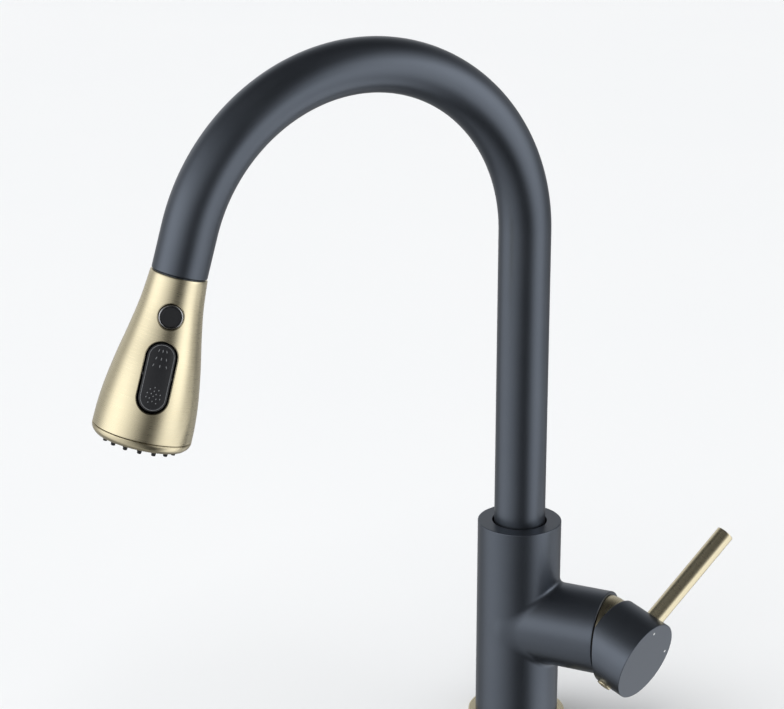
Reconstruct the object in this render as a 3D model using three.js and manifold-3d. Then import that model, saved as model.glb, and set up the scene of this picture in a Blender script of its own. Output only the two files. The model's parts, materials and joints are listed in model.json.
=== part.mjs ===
// Single-lever kitchen faucet with a swivelling gooseneck spout and a pull-down spray head.
// Millimetres, +Z up. Origin: body axis at the countertop. The handle branch points along +X,
// the sink side is -Y. The spout stands swung toward -X and the handle stands open and turned back.
import * as THREE from "three";
import { mergeVertices } from "three/addons/utils/BufferGeometryUtils.js";
import Module from "manifold-3d";

const wasm = await Module();
wasm.setup();

const { PI, sin, cos, sqrt } = Math;
const rad = (degrees) => (degrees * PI) / 180;

const GAP = 0.3;
const FINE = 36;
const MEDIUM = 22;
const COARSE = 16;

// Above the counter
const RING_RADIUS = 27;
const RING_HEIGHT = 5;
const BODY_RADIUS = 23;
const BODY_TOP = 120;
const BODY_FLOOR = 18;
const BODY_CHAMFER = 0.8;

// Side branch and cartridge
const BRANCH_Z = 62;
const BRANCH_END = 52.2;
const SEAT_X = 24.5;
const NUT_BORE_END = 45.7;
const CARTRIDGE_RADIUS = 17.5;

// Spout
const TUBE_RADIUS = 14;
const TUBE_BORE = 12.8;
const SPOUT_BORE = 15;
const SPOUT_BORE_FLOOR = 79;
const TUBE_FOOT_Z = 91;
const ARC_START_Z = 284.5;
const ARC_RADIUS = 99;
const ARC_ANGLE = rad(163.8);
const TIP_LENGTH = 21.7;
const SPOUT_AZIMUTH = rad(235);

// Below the counter
const SHANK_RADIUS = 16.1;
const SHANK_BORE = 14.3;
const SHANK_BOTTOM = -80;
const COUNTER_THICKNESS = 30;
const HOSE_RADIUS = 5.2;
const HOSE_HOLE = 6.3;
const HOSE_BOTTOM = -107;
const TAIL_BOTTOM = -128;
const PIPE_RADIUS = 3.9;
const PIPE_BORE = 2.6;

// Pipe holes in the body floor, and the ports they feed in the cartridge seat
const PORTS = {
  hot: { x: 2.6, y: 9.85, portY: 9, portZ: BRANCH_Z - 3 },
  cold: { x: 2.6, y: -9.85, portY: -9, portZ: BRANCH_Z - 3 },
  outlet: { x: 10.2, y: 0, portY: 0, portZ: BRANCH_Z + 9 },
};

// Handle: it swings about a pivot on the branch axis and turns about that axis
const PIVOT_X = 49.7;
const HANDLE_TURN = rad(-44);
const HANDLE_OPEN = rad(22);
const HANDLE_OPEN_LIMIT = rad(24.5);
const CAP_RIM = 5;
const CAP_FACE = 31;
const CAP_CAVITY = 22;
const DOME_RADIUS = 21.3;
const DOME_INNER = 19.6;
const DOME_FRONT = 11.4;
const LEVER_RADIUS = 5;
const LEVER_LENGTH = 84.5;
const LEVER_POSITION = 19;
const LEVER_LEAN = rad(2.9);
const PLUG_POSITION = 20;
const STEM_BALL = 11.2;

// Spray head, measured down its axis from the joint with the spout
const DOCK_GAP = 0.8;
const HEAD_LENGTH = 80.5;
const HEAD_WALL = 1.8;
const HEAD_TURN = rad(65.5);
const HEAD_STATIONS = [
  [14.3, 0],
  [15.75, 15],
  [18.3, 30],
  [21.3, 45],
  [23.7, 60],
  [24.75, 71],
  [25.05, HEAD_LENGTH],
];
const NECK_RADIUS = 9.8;
const BUTTON_POSITION = 18.8;
const BUTTON_HOLE = 6.2;
const ROCKER_POSITION = 48.6;
const ROCKER_SLOT = [17.5, 7.8];
const ROCKER_AXLE = 16.2;
const ROCKER_CROWN = 0.5;
const ROCKER_TILT = rad(4);
const NOZZLE_RING_END = 85.4;
const SPRAY_PLATE_BACK = 79.8;
const SPRAY_PLATE_FRONT = 82.7;
const MAT_FACE = 84.5;
const MAT_BORE = 6.9;
const NUB_ROWS = [
  [18.4, 16],
  [14.2, 12],
  [10.1, 8],
];
const NUB_TIP = 87.8;

// ---------------------------------------------------------------- shapes

// The geometry with nothing but its merged corner points and its triangles.
function positionsOnly(geometry) {
  const bare = new THREE.BufferGeometry();
  bare.setAttribute("position", geometry.getAttribute("position").clone());
  if (geometry.index) bare.setIndex(geometry.index.clone());
  return mergeVertices(bare, 1e-4);
}

function toManifold(geometry) {
  const bare = positionsOnly(geometry);
  const mesh = new wasm.Mesh({
    numProp: 3,
    vertProperties: new Float32Array(bare.getAttribute("position").array),
    triVerts: new Uint32Array(bare.index.array),
  });
  mesh.merge();
  return new wasm.Manifold(mesh);
}

function fromManifold(manifold) {
  const mesh = manifold.getMesh();
  const geometry = new THREE.BufferGeometry();
  geometry.setAttribute("position", new THREE.BufferAttribute(new Float32Array(mesh.vertProperties), 3));
  geometry.setIndex(new THREE.BufferAttribute(new Uint32Array(mesh.triVerts), 1));
  return geometry;
}

function cut(base, ...tools) {
  return fromManifold(tools.reduce((left, tool) => left.subtract(toManifold(tool)), toManifold(base)));
}

function join(base, ...others) {
  return fromManifold(others.reduce((left, other) => left.add(toManifold(other)), toManifold(base)));
}

function intersect(base, tool) {
  return fromManifold(toManifold(base).intersect(toManifold(tool)));
}

// Solid of revolution about +Z; the profile is [radius, height] pairs, taken round in either direction.
function turned(profile, segments = MEDIUM) {
  const points = profile.map(([radius, height]) => new THREE.Vector2(radius, height));
  if (THREE.ShapeUtils.area(points) < 0) points.reverse();
  return new THREE.LatheGeometry(points, segments).rotateX(PI / 2);
}

function rod(radius, from, to, segments = COARSE) {
  return turned([[0, from], [radius, from], [radius, to], [0, to]], segments);
}

// Round bar with both ends chamfered.
function pin(radius, from, to, chamfer, segments = COARSE) {
  const profile = [
    [0, from],
    [radius - chamfer, from],
    [radius, from + chamfer],
    [radius, to - chamfer],
    [radius - chamfer, to],
    [0, to],
  ];
  return turned(profile, segments);
}

// Round tube with plain square ends.
function ring(outer, inner, from, to, segments = MEDIUM) {
  return turned([[inner, from], [outer, from], [outer, to], [inner, to], [inner, from]], segments);
}

// Round tube with both outer edges chamfered.
function chamferedRing(outer, inner, from, to, chamfer, segments = COARSE) {
  const profile = [
    [inner, from],
    [outer - chamfer, from],
    [outer, from + chamfer],
    [outer, to - chamfer],
    [outer - chamfer, to],
    [inner, to],
    [inner, from],
  ];
  return turned(profile, segments);
}

function block(sizeX, sizeY, sizeZ, x = 0, y = 0, z = 0) {
  return new THREE.BoxGeometry(sizeX, sizeY, sizeZ).translate(x, y, z);
}

function hexagon(acrossFlats, from, to) {
  return new THREE.CylinderGeometry(acrossFlats / sqrt(3), acrossFlats / sqrt(3), to - from, 6)
    .rotateX(PI / 2)
    .translate(0, 0, (from + to) / 2);
}

// Points on a circle arc about the origin as [radius, height] pairs, between two heights.
function ballArc(radius, fromHeight, toHeight, steps) {
  return Array.from({ length: steps + 1 }, (unused, i) => {
    const start = Math.asin(fromHeight / radius);
    const end = Math.asin(toHeight / radius);
    const angle = start + ((end - start) * i) / steps;
    return [radius * cos(angle), radius * sin(angle)];
  });
}

// Turns a shape made about +Z so that it lies about +X.
function alongX(geometry) {
  return geometry.rotateY(PI / 2);
}

function circlePoints(radius, count) {
  return Array.from({ length: count }, (unused, i) => {
    const angle = (2 * PI * i) / count;
    return new THREE.Vector2(radius * cos(angle), radius * sin(angle));
  });
}

// Flat disc, with a round hole when a hole radius is given.
function circleShape(radius, segments, holeRadius = 0, holeSegments = 0) {
  const shape = new THREE.Shape(circlePoints(radius, segments));
  if (holeRadius > 0) shape.holes.push(new THREE.Path(circlePoints(holeRadius, holeSegments)));
  return shape;
}

// Path in the XZ plane given by stations, so that straight lengths take one step each.
class StationPath extends THREE.Curve {
  constructor(stations) {
    super();
    this.stations = stations;
  }

  getSpacedPoints() {
    return this.stations.map((station) => station.point.clone());
  }

  computeFrenetFrames() {
    const tangents = this.stations.map((station) => station.tangent.clone());
    const binormals = tangents.map(() => new THREE.Vector3(0, 1, 0));
    const normals = tangents.map((tangent, i) => new THREE.Vector3().crossVectors(binormals[i], tangent));
    return { tangents, normals, binormals };
  }
}

// Gooseneck centre line: straight up, over the bend, and a straight tip.
function gooseneck(bottom, steps, tip) {
  const stations = [{ point: new THREE.Vector3(0, 0, bottom), tangent: new THREE.Vector3(0, 0, 1) }];
  for (let i = 0; i <= steps; i += 1) {
    const angle = (ARC_ANGLE * i) / steps;
    const point = new THREE.Vector3(ARC_RADIUS * (1 - cos(angle)), 0, ARC_START_Z + ARC_RADIUS * sin(angle));
    stations.push({ point, tangent: new THREE.Vector3(sin(angle), 0, cos(angle)) });
  }
  const last = stations[stations.length - 1];
  const end = last.point.clone().addScaledVector(last.tangent, tip);
  stations.push({ point: end, tangent: last.tangent.clone() });
  return stations;
}

function sweep(shape, stations) {
  return new THREE.ExtrudeGeometry(shape, {
    steps: stations.length - 1,
    extrudePath: new StationPath(stations),
  });
}

// Oblong prism: a slot outline of half length and half width, along Z from one height to another.
function oblong(halfLength, halfWidth, from, to, segments = 10) {
  const shape = new THREE.Shape();
  const straight = halfLength - halfWidth;
  for (const [centre, start] of [[straight, -PI / 2], [-straight, PI / 2]]) {
    for (let i = 0; i <= segments; i += 1) {
      const angle = start + (PI * i) / segments;
      const x = centre + halfWidth * cos(angle);
      const y = halfWidth * sin(angle);
      if (shape.curves.length === 0 && i === 0 && centre > 0) shape.moveTo(x, y);
      else shape.lineTo(x, y);
    }
  }
  return new THREE.ExtrudeGeometry(shape, { depth: to - from, bevelEnabled: false }).translate(0, 0, from);
}

// ---------------------------------------------------------------- finishes

const FINISHES = {
  black: { color: 0x24262b, roughness: 0.42, metalness: 0.5 },
  gold: { color: 0xc9b287, roughness: 0.3, metalness: 1 },
  brass: { color: 0xb8924e, roughness: 0.35, metalness: 1 },
  steel: { color: 0xb4b6b9, roughness: 0.3, metalness: 1 },
  rubber: { color: 0x17171a, roughness: 0.85, metalness: 0 },
  blackPlastic: { color: 0x1b1c1f, roughness: 0.5, metalness: 0 },
  greyPlastic: { color: 0x8a8d92, roughness: 0.55, metalness: 0 },
  ceramic: { color: 0xe9e6df, roughness: 0.35, metalness: 0 },
  enamel: { color: 0xf0f0ee, roughness: 0.4, metalness: 0 },
  braid: { color: 0x3a3b3f, roughness: 0.7, metalness: 0 },
};

function add(group, name, geometry, finish) {
  const bare = positionsOnly(geometry);
  bare.computeVertexNormals();
  const mesh = new THREE.Mesh(bare, new THREE.MeshStandardMaterial(FINISHES[finish]));
  mesh.name = name;
  group.add(mesh);
  return mesh;
}

function named(name) {
  const group = new THREE.Group();
  group.name = name;
  return group;
}

// ---------------------------------------------------------------- body and clamp

// Trim ring that covers the hole in the counter, and the flat gasket in the groove below it.
function baseParts(group) {
  const groove = 1.8;
  const trim = turned([
    [16.9, 0],
    [RING_RADIUS - 0.4, 0],
    [RING_RADIUS, 0.4],
    [RING_RADIUS, RING_HEIGHT - 0.7],
    [RING_RADIUS - 0.7, RING_HEIGHT],
    [16.9, RING_HEIGHT],
    [16.9, 0],
  ], FINE);
  add(group, "base_ring", cut(trim, ring(24.6, 20, -1, groove)), "gold");
  add(group, "base_gasket", ring(24.3, 20.3, 0, groove - GAP), "rubber");
}

// Water ways from the pipes in the body's floor up and across to the cartridge seat.
function pipeHoles() {
  const holes = [];
  for (const { x, y, portY, portZ } of Object.values(PORTS)) {
    holes.push(rod(PIPE_BORE, BODY_FLOOR - 1, portZ + 1, 16).translate(x, y, 0));
    holes.push(rod(PIPE_RADIUS + GAP, BODY_FLOOR - 1, BODY_FLOOR + 10, COARSE).translate(x, y, 0));
    holes.push(alongX(rod(PIPE_BORE - 0.1, x, SEAT_X + 1, 16)).translate(0, portY, portZ));
  }
  return holes;
}

// Upright body and side branch of one diameter, bored for the spout, hose, shank and cartridge.
function bodyCasting(group) {
  const upright = turned([
    [0, RING_HEIGHT + GAP],
    [BODY_RADIUS, RING_HEIGHT + GAP],
    [BODY_RADIUS, BODY_TOP - BODY_CHAMFER],
    [BODY_RADIUS - BODY_CHAMFER, BODY_TOP],
    [0, BODY_TOP],
  ], FINE);
  const branch = alongX(turned([
    [0, 0],
    [BODY_RADIUS, 0],
    [BODY_RADIUS, BRANCH_END - BODY_CHAMFER],
    [BODY_RADIUS - BODY_CHAMFER, BRANCH_END],
    [0, BRANCH_END],
  ], FINE)).translate(0, 0, BRANCH_Z);
  const cartridgeBore = alongX(turned([
    [0, SEAT_X],
    [18.6, SEAT_X],
    [18.6, NUT_BORE_END],
    [20.6, NUT_BORE_END],
    [20.6, BRANCH_END + 1],
    [0, BRANCH_END + 1],
  ], MEDIUM)).translate(0, 0, BRANCH_Z);
  const bores = [
    rod(SPOUT_BORE, SPOUT_BORE_FLOOR, BODY_TOP + 1, MEDIUM),
    rod(HOSE_HOLE, 0, BODY_TOP, COARSE),
    rod(SHANK_RADIUS + GAP, 0, BODY_FLOOR, MEDIUM),
    cartridgeBore,
    rod(2.8, 0, BODY_RADIUS + 4, 16).rotateX(-PI / 2).translate(0, 0, 87),
  ];
  add(group, "body_casting", cut(join(upright, branch), ...bores, ...pipeHoles()), "black");
}

// Two bushes that the spout turns in, and the screw at the back that holds its foot.
function spoutSeat(group) {
  add(group, "spout_bush_upper", ring(SPOUT_BORE - 0.25, TUBE_RADIUS + 0.3, 106, 116), "blackPlastic");
  add(group, "spout_bush_lower", ring(SPOUT_BORE - 0.25, TUBE_RADIUS + 0.3, 92.5, 102.5), "blackPlastic");
  const screw = cut(pin(2.5, 0, 8.5, 0.4, 16), hexagon(2.4, 6, 9));
  add(group, "spout_set_screw", screw.rotateX(-PI / 2).translate(0, 13.2, 87), "steel");
}

// Threaded shank through the counter, with washers, nut and two clamp screws under it.
function shankParts(group) {
  const bottom = -COUNTER_THICKNESS;
  add(group, "shank", ring(SHANK_RADIUS, SHANK_BORE, SHANK_BOTTOM, BODY_FLOOR - GAP), "brass");
  add(group, "clamp_washer_rubber", ring(25, SHANK_RADIUS + 0.4, bottom - 3, bottom), "rubber");
  add(group, "clamp_washer_steel", ring(25, SHANK_RADIUS + 0.4, bottom - 5.3, bottom - 3 - GAP), "steel");
  const nutTop = bottom - 9;
  const screwPlaces = [-24, 24];
  const flange = join(
    ring(28, SHANK_RADIUS + 0.3, nutTop - 7, nutTop),
    ring(19.5, SHANK_RADIUS + 0.3, nutTop - 16, nutTop - 6),
  );
  const holes = screwPlaces.map((y) => rod(2.8, nutTop - 20, nutTop + 2, 16).translate(0, y, 0));
  add(group, "mounting_nut", cut(flange, ...holes), "brass");
  screwPlaces.forEach((y, i) => {
    const head = cut(rod(4, nutTop - 13, nutTop - 7 - GAP, 16), block(10, 1.2, 3, 0, 0, nutTop - 12.5));
    const screw = join(head, rod(2.5, nutTop - 9, bottom - 5.3 - GAP, 16));
    add(group, `clamp_screw_${i + 1}`, screw.translate(0, y, 0), "steel");
  });
}

// Hot, cold and outlet pipes with the crimped ends that their hoses push on to.
function pipes(group) {
  const names = { hot: "hot_inlet", cold: "cold_inlet", outlet: "outlet_pipe" };
  for (const [key, { x, y }] of Object.entries(PORTS)) {
    const outline = turned([
      [PIPE_BORE, -104],
      [4.2, -104],
      [4.2, -96],
      [4.7, -95.5],
      [4.7, -84.5],
      [4.2, -84],
      [PIPE_RADIUS, -84],
      [PIPE_RADIUS, BODY_FLOOR + 9.5],
      [PIPE_BORE, BODY_FLOOR + 9.5],
      [PIPE_BORE, -104],
    ], COARSE);
    add(group, names[key], outline.translate(x, y, 0), "brass");
  }
}

// ---------------------------------------------------------------- cartridge

// Ceramic cartridge in the branch: housing, base with its seals, fixed disc and retaining nut.
function cartridge(group) {
  const place = (geometry) => alongX(geometry).translate(0, 0, BRANCH_Z);
  const start = SEAT_X + GAP;
  const housing = turned([
    [15.4, start],
    [CARTRIDGE_RADIUS, start],
    [CARTRIDGE_RADIUS, 44.7],
    [12, 44.7],
    [12, 53.4],
    [8.8, 53.4],
    [8.8, 42.8],
    [15.4, 42.8],
    [15.4, start],
  ]);
  add(group, "cartridge_housing", place(housing), "greyPlastic");

  const keys = ["hot", "cold", "outlet"];
  const ports = keys.map((key) => [PORTS[key].portY, PORTS[key].portZ - BRANCH_Z]);
  const base = cut(
    alongX(rod(15.1, start, start + 5, MEDIUM)),
    ...ports.flatMap(([y, z]) => [
      alongX(rod(2.4, start - 1, start + 6, 16)).translate(0, y, z),
      alongX(rod(5, start - 1, start + 1.5, COARSE)).translate(0, y, z),
    ]),
  );
  add(group, "cartridge_base", base.translate(0, 0, BRANCH_Z), "greyPlastic");
  keys.forEach((key, i) => {
    const seal = alongX(ring(4.7, 2.7, start, start + 1.2, COARSE));
    add(group, `seal_${key}`, seal.translate(0, ports[i][0], BRANCH_Z + ports[i][1]), "rubber");
  });

  const discHoles = ports.map(([y, z]) => alongX(rod(2.4, start, start + 12, 16)).translate(0, y, z));
  const fixed = cut(alongX(rod(15, start + 5.3, start + 9, MEDIUM)), ...discHoles);
  add(group, "ceramic_disc_fixed", fixed.translate(0, 0, BRANCH_Z), "ceramic");

  const nut = cut(
    alongX(ring(18.3, 12.3, 45, 51)),
    ...[0, PI / 2].map((turn) => block(2, 40, 4, 50.5, 0, 0).rotateX(turn)),
  );
  add(group, "retaining_nut", nut.translate(0, 0, BRANCH_Z), "brass");
}

// Ball-shaped ring at the branch's end that the handle's cap tips over.
function domeRing(group) {
  const seatHeight = BRANCH_END - PIVOT_X + GAP;
  const profile = [
    [19.3, -3.6],
    [20.3, -3.6],
    [20.3, seatHeight],
    ...ballArc(DOME_RADIUS, seatHeight, DOME_FRONT, 5),
    ...ballArc(DOME_INNER, seatHeight + 1, DOME_FRONT, 3).reverse(),
    [19.3, -3.6],
  ];
  const dome = alongX(turned(profile, FINE)).translate(PIVOT_X, 0, BRANCH_Z);
  add(group, "dome_ring", dome, "gold");
}

// ---------------------------------------------------------------- handle

// Frame of the tilted handle: Z out along the cap axis, X along the lever, origin at the pivot.
function handleFrame() {
  const out = new THREE.Vector3(1, 0, 0);
  const side = new THREE.Vector3(0, -sin(HANDLE_TURN), cos(HANDLE_TURN));
  const capAxis = out.clone().multiplyScalar(cos(HANDLE_OPEN)).addScaledVector(side, -sin(HANDLE_OPEN));
  const lever = side.clone().multiplyScalar(cos(HANDLE_OPEN)).addScaledVector(out, sin(HANDLE_OPEN));
  const across = new THREE.Vector3().crossVectors(capAxis, lever);
  const frame = named("handle_frame");
  frame.quaternion.setFromRotationMatrix(new THREE.Matrix4().makeBasis(lever, across, capAxis));
  frame.position.set(PIVOT_X, 0, BRANCH_Z);
  return frame;
}

// Turns a shape made about +Z so that it lies along the lever, which leans a little outward.
function alongLever(geometry) {
  return geometry.rotateY(PI / 2 - LEVER_LEAN).translate(0, 0, LEVER_POSITION);
}

// Cup over the dome: hollowed as a ball, with its rim cut straight on the lever's side and slanting
// on the other, a square hole in its hub for the stem, and holes for the lever, screw and marks.
function handleCap(frame) {
  const outside = turned([
    [0, -8],
    [BODY_RADIUS, -8],
    [BODY_RADIUS, CAP_FACE - 0.6],
    [BODY_RADIUS - 0.6, CAP_FACE],
    [0, CAP_FACE],
  ], FINE);
  const cavity = turned([[0, -9], [CAP_CAVITY, -9], ...ballArc(CAP_CAVITY, 0, CAP_CAVITY, 6)], MEDIUM);
  const hub = rod(7.5, 9.5, CAP_CAVITY + 1, COARSE);
  const rim = block(60, 60, 20, 0, 0, CAP_RIM - 10);
  const clearance = block(90, 90, 40, 0, 0, BRANCH_END - PIVOT_X + 0.4 - 20).rotateY(HANDLE_OPEN_LIMIT);
  const holes = [
    block(7.6, 7.6, 12, 0, 0, 13),
    alongLever(rod(2.9, 0, 30, 16)),
    alongLever(rod(LEVER_RADIUS + 0.15, 21, 30, COARSE)),
    rod(2.2, 3, 30, 16).rotateY(-PI / 2).translate(0, 0, PLUG_POSITION),
    rod(4.3, 21.4, 30, COARSE).rotateY(-PI / 2).translate(0, 0, PLUG_POSITION),
  ];
  const hollow = cut(outside, cavity, rim, clearance);
  add(frame, "handle_cap", cut(join(hollow, hub), ...holes, ...markPlaces().map(markPocket)), "black");
}

// The hot and cold marks on the cap's face, each at its angle from the lever.
function markPlaces() {
  return [["mark_hot", rad(46)], ["mark_cold", rad(-46)]];
}

function markPocket([unused, angle]) {
  return rod(0.9, CAP_FACE - 0.6, CAP_FACE + 1, 12).translate(18.5 * cos(angle), 18.5 * sin(angle), 0);
}

// Cap, lever, grub screw with its gold plug, and the two marks.
function handleParts(frame) {
  handleCap(frame);
  const lever = join(
    turned([
      [0, 21.4],
      [LEVER_RADIUS, 21.4],
      [LEVER_RADIUS, LEVER_LENGTH - 0.7],
      [LEVER_RADIUS - 0.7, LEVER_LENGTH],
      [0, LEVER_LENGTH],
    ], MEDIUM),
    rod(2.6, 11, 22, 16),
  );
  add(frame, "lever_rod", alongLever(lever), "gold");

  const grub = cut(pin(1.9, 4.2, 16, 0.3, 16), hexagon(2, 13.5, 17));
  add(frame, "cap_set_screw", grub.rotateY(-PI / 2).translate(0, 0, PLUG_POSITION), "steel");
  const plug = turned([[0, 21.8], [4, 21.8], [4, 23.7], [3.4, 24.1], [1.8, 24.35], [0, 24.4]], COARSE);
  add(frame, "cap_plug", plug.rotateY(-PI / 2).translate(0, 0, PLUG_POSITION), "gold");

  for (const [name, angle] of markPlaces()) {
    const mark = rod(0.75, CAP_FACE - 0.45, CAP_FACE, 12).translate(18.5 * cos(angle), 18.5 * sin(angle), 0);
    add(frame, name, mark, "enamel");
  }
}

// Stem on the handle, and the carrier, cross pin and disc that turn with it in the cartridge.
function stemParts(group, frame) {
  const stem = join(
    block(7, 7, 20, 0, 0, 8.5),
    rod(3.4, -6, 0, COARSE),
    rod(1.8, -STEM_BALL, -5, 12),
    new THREE.SphereGeometry(2.6, 12, 8).rotateX(PI / 2).translate(0, 0, -STEM_BALL),
  );
  const crossHole = (radius, reach) => rod(radius, -reach, reach, 12).rotateX(PI / 2);
  add(frame, "cartridge_stem", cut(stem, crossHole(1.8, 10)), "steel");

  const turn = named("handle_turn_frame");
  turn.rotation.x = HANDLE_TURN;
  turn.position.set(PIVOT_X, 0, BRANCH_Z);
  const carrier = cut(alongX(rod(8.5, -6.4, 3.4, MEDIUM)), block(20, 7.7, 14.4), crossHole(1.55, 10));
  add(turn, "stem_carrier", carrier, "greyPlastic");
  add(turn, "stem_pin", crossHole(1.25, 8.2), "steel");

  const start = SEAT_X + 9.6 - PIVOT_X;
  const travel = STEM_BALL * sin(HANDLE_OPEN);
  const disc = cut(
    alongX(rod(12.4, start, start + 4.2, MEDIUM)).translate(0, 0, travel / 2),
    alongX(rod(3.1, start + 1.5, start + 6, COARSE)).translate(0, 0, travel),
    alongX(rod(2.6, start - 1, start + 1, COARSE)).translate(0, 0, travel / 2 - 7),
  );
  add(turn, "ceramic_disc_moving", disc, "ceramic");
  group.add(turn);
}

// ---------------------------------------------------------------- spout

// Gooseneck tube with its foot, the dock for the spray head, and the pull-out hose inside it.
function spoutParts(group) {
  const spout = named("spout_frame");
  spout.rotation.z = SPOUT_AZIMUTH;
  const stations = gooseneck(TUBE_FOOT_Z, 30, TIP_LENGTH);
  add(spout, "spout_tube", sweep(circleShape(TUBE_RADIUS, 32, TUBE_BORE, 14), stations), "black");

  const foot = turned([
    [9, 80.5],
    [14.3, 80.5],
    [14.3, 84],
    [12.9, 84.3],
    [12.9, 89.7],
    [14, 90],
    [14, TUBE_FOOT_Z - GAP],
    [TUBE_BORE - 0.6, TUBE_FOOT_Z - GAP],
    [TUBE_BORE - 0.6, 104],
    [11, 104],
    [9, 98],
    [9, 80.5],
  ]);
  add(spout, "spout_foot", foot, "brass");

  const { point, tangent } = stations[stations.length - 1];
  const dock = named("dock_frame");
  dock.position.copy(point).addScaledVector(tangent, DOCK_GAP);
  dock.quaternion.setFromRotationMatrix(headBasis(tangent));
  add(dock, "dock_magnet", ring(12.1, NECK_RADIUS + 0.5, -5, -DOCK_GAP - 0.4), "steel");
  const collar = turned([
    [NECK_RADIUS + 0.5, -17],
    [NECK_RADIUS + 0.5, -5.3],
    [12.1, -5.3],
    [12.1, -22],
    [11.3, -22],
    [NECK_RADIUS + 0.5, -17],
  ]);
  add(dock, "dock_collar", collar, "blackPlastic");
  headParts(dock);
  spout.add(dock);

  const hose = gooseneck(HOSE_BOTTOM, 22, TIP_LENGTH - 13.5);
  add(spout, "pull_hose", sweep(circleShape(HOSE_RADIUS, 8), hose), "braid");
  add(spout, "hose_tail", chamferedRing(6.5, 2.5, TAIL_BOTTOM, HOSE_BOTTOM - GAP, 0.6), "brass");
  group.add(spout);
}

// Spray head frame: Z down the head axis, X toward the side with the buttons.
function headBasis(axis) {
  const outward = new THREE.Vector3(-axis.z, 0, axis.x);
  const side = new THREE.Vector3().crossVectors(axis, outward);
  const front = outward.multiplyScalar(cos(HEAD_TURN)).addScaledVector(side, -sin(HEAD_TURN));
  return new THREE.Matrix4().makeBasis(front, new THREE.Vector3().crossVectors(axis, front), axis);
}

// ---------------------------------------------------------------- spray head

// Outline of the flaring head between two heights as [radius, height] pairs, moved in by the inset.
function headOutline(steps, inset, from, to) {
  const stations = HEAD_STATIONS.map(([radius, height]) => new THREE.Vector2(radius, height));
  const samples = new THREE.SplineCurve(stations).getSpacedPoints(120);
  return Array.from({ length: steps + 1 }, (unused, i) => {
    const height = from + ((to - from) * i) / steps;
    return [radiusAt(samples, height) - inset, height];
  });
}

// Radius of the sampled outline at a height, measured along the straight line between two samples.
function radiusAt(samples, height) {
  const after = samples.findIndex((sample) => sample.y >= height);
  if (after === 0) return samples[0].x;
  if (after < 0) return samples[samples.length - 1].x;
  const [a, b] = [samples[after - 1], samples[after]];
  return a.x + ((b.x - a.x) * (height - a.y)) / (b.y - a.y);
}

// Flaring shell with the round button hole and the long rocker slot.
function headShell(head) {
  const outside = headOutline(8, 0, 0.5, HEAD_LENGTH);
  const inside = headOutline(4, HEAD_WALL, 2.5, HEAD_LENGTH);
  const shell = turned([
    [NECK_RADIUS + 0.4, 0],
    [14, 0],
    ...outside,
    ...inside.reverse(),
    [NECK_RADIUS + 0.4, 2.5],
    [NECK_RADIUS + 0.4, 0],
  ], FINE);
  const buttonHole = rod(BUTTON_HOLE, 8, 30, MEDIUM).rotateY(PI / 2).translate(0, 0, BUTTON_POSITION);
  const slot = oblong(...ROCKER_SLOT, 8, 40).rotateY(PI / 2).translate(0, 0, ROCKER_POSITION);
  add(head, "head_shell", cut(shell, buttonHole, slot), "gold");
}

// Plastic water body inside the shell, with the rocker's cup, the button's seat and the valve bore.
function headCore(head) {
  const core = turned([
    [5, -13],
    [NECK_RADIUS, -13],
    [NECK_RADIUS, 3],
    [11.2, 3.4],
    [11.2, 30],
    [14, 44],
    [14, 74],
    [22.6, 76],
    [22.6, 79.5],
    [5, 79.5],
    [5, -13],
  ]);
  const pocket = oblong(ROCKER_SLOT[0] + 0.8, ROCKER_SLOT[1] + 0.6, 12, 17.5).rotateY(PI / 2);
  const cup = oblong(ROCKER_SLOT[0] - 0.4, ROCKER_SLOT[1] - 0.4, 13.6, 40).rotateY(PI / 2);
  const buttonSeat = rod(BUTTON_HOLE + 0.6, 8, 11.6, COARSE).rotateY(PI / 2);
  const buttonBore = rod(4.2, 8.2, 20, COARSE).rotateY(PI / 2);
  const body = join(
    core,
    intersect(pocket.translate(0, 0, ROCKER_POSITION), headInside()),
    intersect(buttonSeat.translate(0, 0, BUTTON_POSITION), headInside()),
  );
  const tunnels = [
    cup.translate(0, 0, ROCKER_POSITION),
    buttonBore.translate(0, 0, BUTTON_POSITION),
    rod(1.3, -9, 9, 12).rotateX(PI / 2).translate(ROCKER_AXLE, 0, ROCKER_POSITION),
    rod(3.2, 65, 80, COARSE).translate(11, 0, 0),
    rod(1.9, 52, 66, 12).translate(11, 0, 0),
    block(8, 4.4, 13, 12, 0, ROCKER_POSITION),
  ];
  add(head, "head_core", cut(body, ...tunnels), "blackPlastic");
}

// Space inside the shell, a little smaller than its inner wall.
function headInside() {
  return turned([[0, 3], ...headOutline(5, HEAD_WALL + GAP + 0.1, 3, 75), [0, 75]], MEDIUM);
}

// Pause button, its spring and the bright bezel round it.
function buttonParts(head) {
  const bezel = turned([[5.45, 14.3], [5.9, 14.3], [5.9, 16.4], [5.45, 16.7], [5.45, 14.3]], MEDIUM);
  add(head, "button_bezel", bezel.rotateY(PI / 2).translate(0, 0, BUTTON_POSITION), "steel");
  const button = join(
    turned([[0, 13.6], [5.2, 13.6], [5.2, 16.3], [4.7, 16.8], [0, 17]], MEDIUM),
    rod(2.2, 11.4, 14, 16),
  );
  add(head, "pause_button", button.rotateY(PI / 2).translate(0, 0, BUTTON_POSITION), "blackPlastic");
  const spring = ring(3.7, 2.7, 8.6, 11.8, COARSE);
  add(head, "button_spring", spring.rotateY(PI / 2).translate(0, 0, BUTTON_POSITION), "steel");
}

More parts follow.
